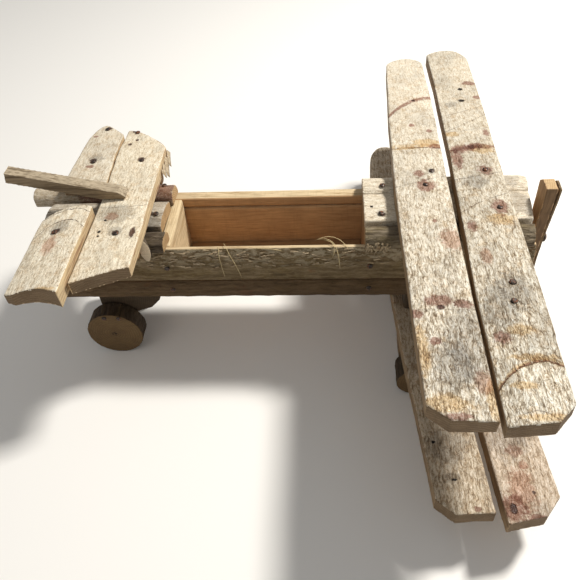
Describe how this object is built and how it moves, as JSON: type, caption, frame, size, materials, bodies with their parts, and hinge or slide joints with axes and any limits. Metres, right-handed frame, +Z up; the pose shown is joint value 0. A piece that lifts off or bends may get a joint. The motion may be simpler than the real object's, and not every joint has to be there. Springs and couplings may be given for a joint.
{
  "type": "wooden biplane planter",
  "caption": "Rustic toy biplane built from bark-on slab wood, with an open planter box in its body, log-slice wheels and a propeller that turns.",
  "frame": {"origin": "top face of the planter box's floor: x at the middle of the box, y on the fuselage's centreline", "axes": "+X the nose, +Y the port side (the wingspan), +Z up"},
  "size_m": [0.6664, 0.7043, 0.2765],
  "materials": {
    "top_wing_bark": "weathered bark",
    "bottom_wing_bark": "weathered bark",
    "tail_bark": "weathered bark",
    "fuselage_bark": "rough bark",
    "deck_bark": "bleached bark",
    "sawn_wood": "rough sawn",
    "log_end_grain": "end grain",
    "propeller_wood": "rough sawn",
    "nail_steel": "oxidised"
  },
  "bodies": {
    "airframe": {"axle_block": "sawn_wood", "axle_nails": "nail_steel", "belly_front": "sawn_wood", "belly_rear": "sawn_wood", "bottom_wing_front_plank": "bottom_wing_bark", "bottom_wing_nails": "nail_steel", "bottom_wing_rear_plank": "bottom_wing_bark", "box_floor": "sawn_wood", "fin_nails": "nail_steel", "front_bulkhead": "sawn_wood", "front_deck_centre": "deck_bark", "front_deck_nails": "nail_steel", "front_deck_port": "deck_bark", "front_deck_starboard": "deck_bark", "front_wheel_port": "log_end_grain", "front_wheel_starboard": "log_end_grain", "hub_spacer": "sawn_wood", "nose_board": "sawn_wood", "port_lower_slab": "fuselage_bark", "port_upper_slab": "fuselage_bark", "port_wall_nails": "nail_steel", "port_wheel_nails": "nail_steel", "propeller_screw": "nail_steel", "rear_bulkhead": "sawn_wood", "rear_deck_centre": "deck_bark", "rear_deck_nails": "nail_steel", "rear_deck_port": "deck_bark", "rear_deck_starboard": "deck_bark", "spacer_nails": "nail_steel", "starboard_lower_slab": "fuselage_bark", "starboard_upper_slab": "fuselage_bark", "starboard_wall_nails": "nail_steel", "starboard_wheel_nails": "nail_steel", "tail_batten_port": "sawn_wood", "tail_batten_starboard": "sawn_wood", "tail_block": "sawn_wood", "tail_block_nails": "nail_steel", "tail_board": "sawn_wood", "tail_fin_stick": "tail_bark", "tail_front_plank": "tail_bark", "tail_nails": "nail_steel", "tail_rear_plank_port": "tail_bark", "tail_rear_plank_starboard": "tail_bark", "tail_tip_nails": "nail_steel", "tail_wheel_port": "log_end_grain", "tail_wheel_starboard": "log_end_grain", "top_wing_clench_nails": "nail_steel", "top_wing_front_plank": "top_wing_bark", "top_wing_nails": "nail_steel", "top_wing_rear_plank": "top_wing_bark", "wing_spacer_block": "sawn_wood"},
    "propeller": {"propeller_blade": "propeller_wood", "propeller_bark": "propeller_wood"}
  },
  "joints": [
    {"name": "propeller_spin", "type": "hinge", "parent": "airframe", "child": "propeller", "pos_m": [0.3334, 0, 0.035], "axis": [1, 0, 0], "continuous": true}
  ]
}
